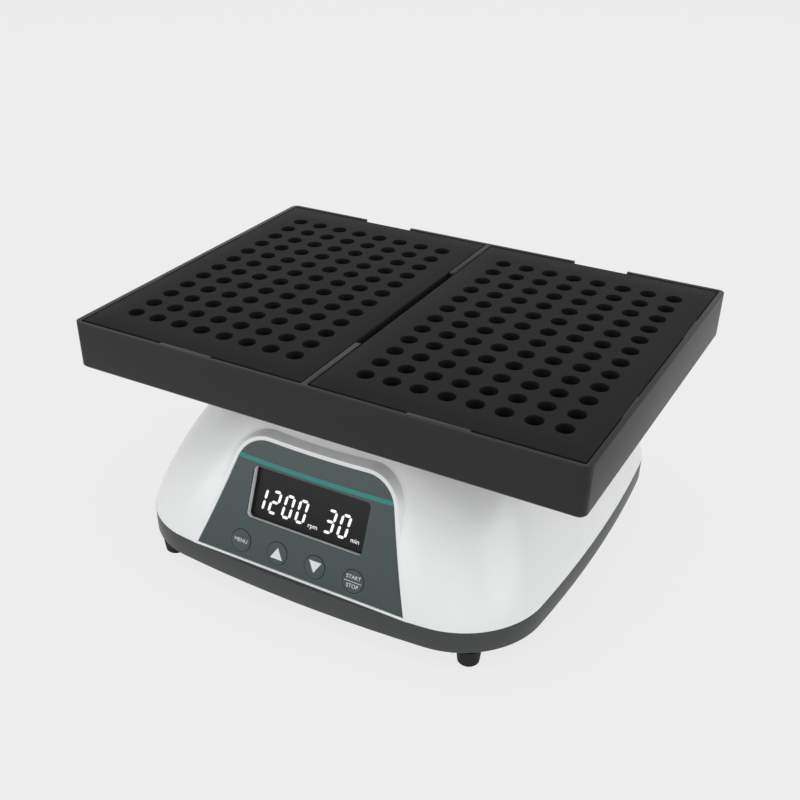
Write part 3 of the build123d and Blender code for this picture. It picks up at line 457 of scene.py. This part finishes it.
def joined(*meshes):
    """Several meshes welded into one."""
    form = bmesh.new()
    for mesh in meshes:
        form.from_mesh(mesh)
    bmesh.ops.remove_doubles(form, verts=form.verts, dist=0.005 * mm)
    mesh = bpy.data.meshes.new("joined")
    form.to_mesh(mesh)
    form.free()
    return mesh


for side in ("left", "right"):
    low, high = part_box("well_insert_" + side)
    middle = (low + high) / 2
    wells = Pattern(
        "well_grid_" + side, Pitch=well_pitch, Columns=well_columns, Rows=well_rows,
        CentreX=middle.x, CentreY=middle.y, Top=high.z)
    grid = wells.node("GeometryNodeMeshGrid", {}, {
        "Size X": (wells.size("Columns") - 1) * wells.size("Pitch"),
        "Size Y": (wells.size("Rows") - 1) * wells.size("Pitch"),
        "Vertices X": wells.size("Columns"), "Vertices Y": wells.size("Rows")})
    centre = wells.node("ShaderNodeCombineXYZ", {}, {
        "X": wells.size("CentreX"), "Y": wells.size("CentreY"), "Z": wells.size("Top")})
    grid = wells.node("GeometryNodeTransform", {}, {"Geometry": grid, "Translation": centre})
    cells = wells.node("GeometryNodeInstanceOnPoints", {}, {
        "Points": grid, "Instance": Wire(wells, wells.entry.outputs["Geometry"])})
    wells.close(cells, insert_plastic)
    insert = finished_mesh(joined(open_block(low, high), wells.mesh(well_cell())))
    add_piece("insert_" + side + "_block", insert, insert_plastic, "insert_" + side,
              "insert_black", "well_insert_" + side)


# Panel overlay. A printed sheet, glued in the panel's shallow seat: dark grey green,
# with a teal stripe near its top and pale legends. It is cut out for the display and the keys.
overlay_film = moulded("overlay_film", (0.04, 0.062, 0.063), 0.3, 0.003 * mm, 0.04, Specular_IOR_Level=0.3)
dress(overlay_film, "panel_overlay")
panel_tilt = math.radians(22.3)
panel_foot = (0.0, -74.66 * mm, 16.2 * mm)
panel_up = Vector((0, math.sin(panel_tilt), math.cos(panel_tilt)))
panel_out = Vector((0, -math.cos(panel_tilt), math.sin(panel_tilt)))
panel = Matrix((
    (1, 0, 0, panel_foot[0]),
    (0, panel_up.y, panel_out.y, panel_foot[1]),
    (0, panel_up.z, panel_out.z, panel_foot[2]),
    (0, 0, 0, 1),
))
overlay_face = -0.4 * mm
ink_thickness = 0.03 * mm


def on_panel(outlines, height, thickness=ink_thickness):
    """Thin flat shapes on the panel, from outlines in millimetres across and up the slope."""
    form = bmesh.new()
    for outline in outlines:
        corners = [form.verts.new(panel @ Vector((x * mm, up * mm, height))) for x, up in outline]
        face = form.faces.new(corners)
        raised = bmesh.ops.extrude_face_region(form, geom=[face])["geom"]
        shift = panel_out * thickness
        bmesh.ops.translate(form, vec=shift, verts=[v for v in raised if isinstance(v, bmesh.types.BMVert)])
    bmesh.ops.recalc_face_normals(form, faces=form.faces)
    mesh = bpy.data.meshes.new("ink")
    form.to_mesh(mesh)
    form.free()
    return mesh


def words_on_panel(words, x, up, letter_height, height):
    """Words in plain type, centred at a place on the panel."""
    type_curve = bpy.data.curves.new("type", "FONT")
    type_curve.body = words
    type_curve.align_x = "CENTER"
    type_curve.align_y = "CENTER"
    type_curve.size = letter_height / 0.72 * mm
    type_curve.extrude = ink_thickness / 2
    type_curve.resolution_u = 3
    holder = bpy.data.objects.new("type", type_curve)
    bpy.context.scene.collection.objects.link(holder)
    evaluated = holder.evaluated_get(bpy.context.evaluated_depsgraph_get())
    mesh = bpy.data.meshes.new_from_object(evaluated)
    bpy.data.objects.remove(holder)
    mesh.transform(panel @ Matrix.Translation((x * mm, up * mm, height + ink_thickness / 2)))
    return mesh


stripe_half = 29.1
stripe_top_end = 34.2
stripe_top_middle = 33.6
stripe_thick = 1.45
stripe_points = 24


def stripe_outline():
    """A shallow curve from side to side and the same curve back, a stripe's thickness lower."""
    top = []
    for i in range(stripe_points + 1):
        x = -stripe_half + 2 * stripe_half * i / stripe_points
        sag = 1 - (x / stripe_half) ** 2
        top.append((x, stripe_top_end - (stripe_top_end - stripe_top_middle) * sag))
    return top + [(x, up - stripe_thick) for x, up in reversed(top)]


teal_ink = moulded(
    "teal_ink", (0.01, 0.235, 0.21), 0.32, 0.002 * mm, 0.03, Specular_IOR_Level=0.25)
pale_ink = moulded("pale_ink", (0.72, 0.75, 0.75), 0.4, 0.002 * mm, 0.03)
add_piece("teal_stripe", on_panel([stripe_outline()], overlay_face), teal_ink, "base", "overlay_film")


# Display. A tinted window clipped behind the overlay, with lit digits under it:
# the speed on the left and the time on the right. Board and module stand behind it.
tinted_glass = moulded(
    "tinted_glass", (0.011, 0.011, 0.011), 0.2, 0.0005 * mm, 0.02, Specular_IOR_Level=0.12)
dress(tinted_glass, "display_lens")
lit_digit = Finish("lit_digit", (0.7, 0.71, 0.71), 0.4, Emission_Strength=0.55)
glow = lit_digit.mix(lit_digit.grain(300), (0.8, 0.82, 0.82), (0.9, 0.92, 0.92))
lit_digit.feed("Emission Color", glow)
lens_face = -2.9 * mm
digit_height = 8.2
digit_width = 3.7
digit_slant = math.tan(math.radians(8))
segment_half = 0.46
segment_gap = 0.2
segments_of = {"0": "abcdef", "1": "bc", "2": "abged", "3": "abgcd"}


def bar_outline(start, end):
    """One pointed segment between two nodes of a digit."""
    run = Vector(end) - Vector(start)
    along = run.normalized()
    across = Vector((-along.y, along.x))
    first = Vector(start) + along * segment_gap
    last = Vector(end) - along * segment_gap
    return [
        first,
        first + (along + across) * segment_half,
        last - (along - across) * segment_half,
        last,
        last - (along + across) * segment_half,
        first + (along - across) * segment_half,
    ]


def digit_outlines(digit, x, up):
    """The lit segments of one seven-segment digit, leaning to the right."""
    tall = digit_height / 2 - segment_half
    wide = digit_width - 2 * segment_half
    ends = {
        "a": ((0, 2 * tall), (wide, 2 * tall)), "b": ((wide, tall), (wide, 2 * tall)),
        "c": ((wide, 0), (wide, tall)), "d": ((0, 0), (wide, 0)), "e": ((0, 0), (0, tall)),
        "f": ((0, tall), (0, 2 * tall)), "g": ((0, tall), (wide, tall)),
    }
    outlines = []
    for name in segments_of[digit]:
        outline = bar_outline(*ends[name])
        outlines.append([(x + p.x + p.y * digit_slant, up + segment_half + p.y) for p in outline])
    return outlines


digit_pitch = 5.2
digit_foot = 16.65
speed_start = -21.05
time_start = 5.15
digits = []
for i, digit in enumerate("1200"):
    digits += digit_outlines(digit, speed_start + digit_pitch * i, digit_foot)
for i, digit in enumerate("30"):
    digits += digit_outlines(digit, time_start + digit_pitch * i, digit_foot)
add_piece("display_digits", on_panel(digits, lens_face), lit_digit, "base", "lens_black")
unit_letter = 1.6
unit_up = 17.3
for name, word, x in (("speed_unit", "rpm", 1.2), ("time_unit", "min", 16.9)):
    unit = words_on_panel(word, x, unit_up, unit_letter, lens_face)
    add_piece(name, unit, lit_digit, "base", "lens_black")
grey_moulding = moulded("grey_moulding", (0.3, 0.3, 0.3), 0.5, 0.01 * mm)
dress(grey_moulding, "display_module")


# Circuit boards. Green solder mask over copper tracks, with black components on them.
def circuit_board(name, colour):
    """Solder mask with a faint pattern of tracks under it."""
    finish = Finish(name, colour, 0.32, Coat_Weight=0.2)
    tracks = finish.node("ShaderNodeTexBrick", {"offset": 0.5}, {
        "Vector": finish.place, "Scale": 260.0, "Color1": (0.0, 0.0, 0.0), "Color2": (0.3, 0.3, 0.3),
        "Mortar": (1.0, 1.0, 1.0), "Mortar Size": 0.03})
    lighter = tuple(level * 1.7 for level in colour)
    finish.feed("Base Color", finish.mix(tracks * 0.5, colour, lighter))
    finish.feed("Roughness", finish.grain(90, 3.0) * 0.12 + 0.26)
    finish.relief(tracks, 0.01 * mm)
    return finish


green_board = circuit_board("green_board", (0.016, 0.13, 0.05))
dress(green_board, "display_board", "keypad_board", "main_board")
black_component = moulded("black_component", (0.018, 0.018, 0.018), 0.45, 0.01 * mm)
dress(black_component, "board_components", "tact_switches")


# Keys. Four round keys behind the overlay's openings, with domed faces and printed signs.
# Each face and its print ride on the key, so they go down with it.
key_film = moulded("key_film", (0.042, 0.064, 0.065), 0.34, 0.003 * mm, 0.04, Specular_IOR_Level=0.3)
key_names = ("menu", "up", "down", "start_stop")
for key in key_names:
    dress(key_film, "button_" + key)
key_face = -0.25 * mm
key_row = -1.2
key_up = 5.6
key_pitch = 14.25
key_x = {key: key_row + (i - 1.5) * key_pitch for i, key in enumerate(key_names)}
arrow_half = 2.3
arrow_rise = 1.9
up_arrow = [(-arrow_half, -arrow_rise), (arrow_half, -arrow_rise), (0, arrow_rise)]
down_arrow = [(-arrow_half, arrow_rise), (0, -arrow_rise), (arrow_half, arrow_rise)]
for key, arrow in (("up", up_arrow), ("down", down_arrow)):
    outline = [(key_x[key] + x, key_up + rise) for x, rise in arrow]
    add_piece(key + "_arrow", on_panel([outline], key_face), pale_ink, key + "_key", "key_film")
menu_letter = 1.35
menu_word = words_on_panel("MENU", key_x["menu"], key_up, menu_letter, key_face)
add_piece("menu_word", menu_word, pale_ink, "menu_key", "key_film")
start_x = key_x["start_stop"]
start_letter = 1.3
for word, rise in (("start", 1.25), ("stop", -1.65)):
    legend = words_on_panel(word.upper(), start_x, key_up + rise, start_letter, key_face)
    add_piece(word + "_word", legend, pale_ink, "start_stop_key", "key_film")
rule_half = 3.1
rule_foot = key_up - 0.3
rule_top = key_up - 0.14
rule = [(start_x - rule_half, rule_foot), (start_x + rule_half, rule_foot),
        (start_x + rule_half, rule_top), (start_x - rule_half, rule_top)]
add_piece("start_stop_rule", on_panel([rule], key_face), pale_ink, "start_stop_key", "key_film")


# Rear socket and switch. A round power inlet with its nut, and a rocker switch in its frame,
# side by side in the recess at the back. Both are black mouldings.
black_moulding = moulded("black_moulding", (0.016, 0.016, 0.016), 0.4, 0.01 * mm)
dress(black_moulding, "power_inlet", "rocker_frame", "power_rocker")
